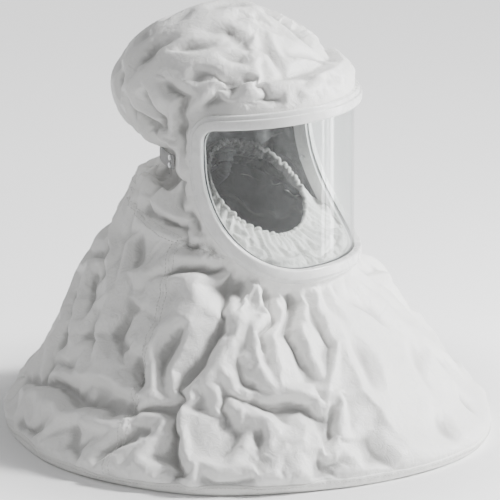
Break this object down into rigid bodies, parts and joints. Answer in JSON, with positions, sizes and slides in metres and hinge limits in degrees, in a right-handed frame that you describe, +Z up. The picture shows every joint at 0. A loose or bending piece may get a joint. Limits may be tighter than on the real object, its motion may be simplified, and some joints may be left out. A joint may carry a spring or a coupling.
{
  "type": "smoke hood",
  "caption": "Loose protective hood with a curved clear visor, gathered nape, sealed neck opening, wide shoulder cape and a small breathing pack inside.",
  "frame": {"origin": "on the resting plane, under the axis of curvature of the visor", "axes": "+Z up, -Y the way the wearer looks, +X to the wearer's left"},
  "size_m": [0.486, 0.486, 0.4333],
  "materials": {
    "shell_fabric": "satin coated ripstop",
    "hem_tape": "folded tape",
    "lens": "clear hard-coated film",
    "rim": "satin moulded",
    "seal_rubber": "matt",
    "clamp": "moulded",
    "window_tape": "bonded tape",
    "stainless": "brushed",
    "neck_film": "soft translucent sheet",
    "elastic": "covered elastic",
    "port": "dark anodised",
    "webbing": "woven",
    "slider": "moulded",
    "valve": "moulded",
    "valve_rubber": "silicone",
    "pack_plastic": "textured moulding",
    "foam": "closed-cell foam",
    "button": "moulded",
    "screen": "perforated",
    "absorbent": "granular",
    "core": "pressed powder",
    "lagging": "fibre mat",
    "filter": "fibre felt",
    "brass": "turned",
    "hose_rubber": "ribbed",
    "pull": "gloss red"
  },
  "bodies": {
    "hood": {"hood_crown": "shell_fabric", "cape_front": "shell_fabric", "cape_back": "shell_fabric", "hem_binding": "hem_tape", "visor_lens": "lens", "visor_frame": "rim", "visor_clamp_ring": "clamp", "visor_gasket": "seal_rubber", "window_tape": "window_tape", "frame_screws": "stainless", "neck_seal": "neck_film", "neck_seal_elastic": "elastic", "port_fitting_left": "port", "port_fitting_right": "port", "port_lock_rings": "port", "nape_strap": "webbing", "nape_strap_rivets": "stainless", "relief_valve_body": "valve", "relief_valve_nut": "valve", "relief_valve_spring": "stainless", "relief_valve_cap": "valve", "pack_tray": "pack_plastic", "pack_cover": "pack_plastic", "pack_cover_screws": "stainless", "neck_pad": "foam", "pack_mount_posts": "pack_plastic", "pack_mount_buttons": "button", "scrubber_case": "stainless", "scrubber_inlet_screen": "screen", "scrubber_outlet_screen": "screen", "scrubber_bed": "absorbent", "generator_case": "stainless", "generator_lagging": "lagging", "chlorate_core": "core", "generator_filter": "filter", "outlet_end_cap": "stainless", "ignition_end_cap": "stainless", "generator_clips": "stainless", "heat_shield": "stainless", "primer": "brass", "striker_housing": "brass", "striker_spring": "stainless", "oxygen_tube": "stainless", "injector_nozzle": "brass", "mixing_tube": "port", "supply_hose": "hose_rubber", "return_hose": "hose_rubber"},
    "relief_disc": {"relief_valve_disc": "valve_rubber"},
    "slider": {"nape_slider": "slider"},
    "release": {"release_pin": "stainless", "lanyard": "stainless"},
    "ring": {"pull_ring": "pull"},
    "striker": {"striker": "stainless"}
  },
  "joints": [
    {"name": "relief_valve_lift", "type": "slide", "parent": "hood", "child": "relief_disc", "axis": [0.8484, 0.4999, -0.1742], "range_m": [0, 0.0025], "deforming": ["relief_valve_spring"]},
    {"name": "nape_slider_turn", "type": "hinge", "parent": "hood", "child": "slider", "pos_m": [0, 0, 0.285], "axis": [0, 0, 1], "range_deg": [-20, 20]},
    {"name": "release_pull", "type": "slide", "parent": "hood", "child": "release", "axis": [0, 0.4817, -0.8763], "range_m": [0, 0.03]},
    {"name": "pull_ring_swing", "type": "hinge", "parent": "release", "child": "ring", "pos_m": [-0.04, 0.17762, 0.0655], "axis": [0, 0.8763, 0.4817], "range_deg": [-60, 60]},
    {"name": "striker_throw", "type": "slide", "parent": "hood", "child": "striker", "axis": [1, 0, 0], "range_m": [0, 0.006], "deforming": ["striker_spring"]}
  ],
  "couplings": [
    {"joint": "striker_throw", "follows": "release_pull", "ratio": 0.2}
  ]
}
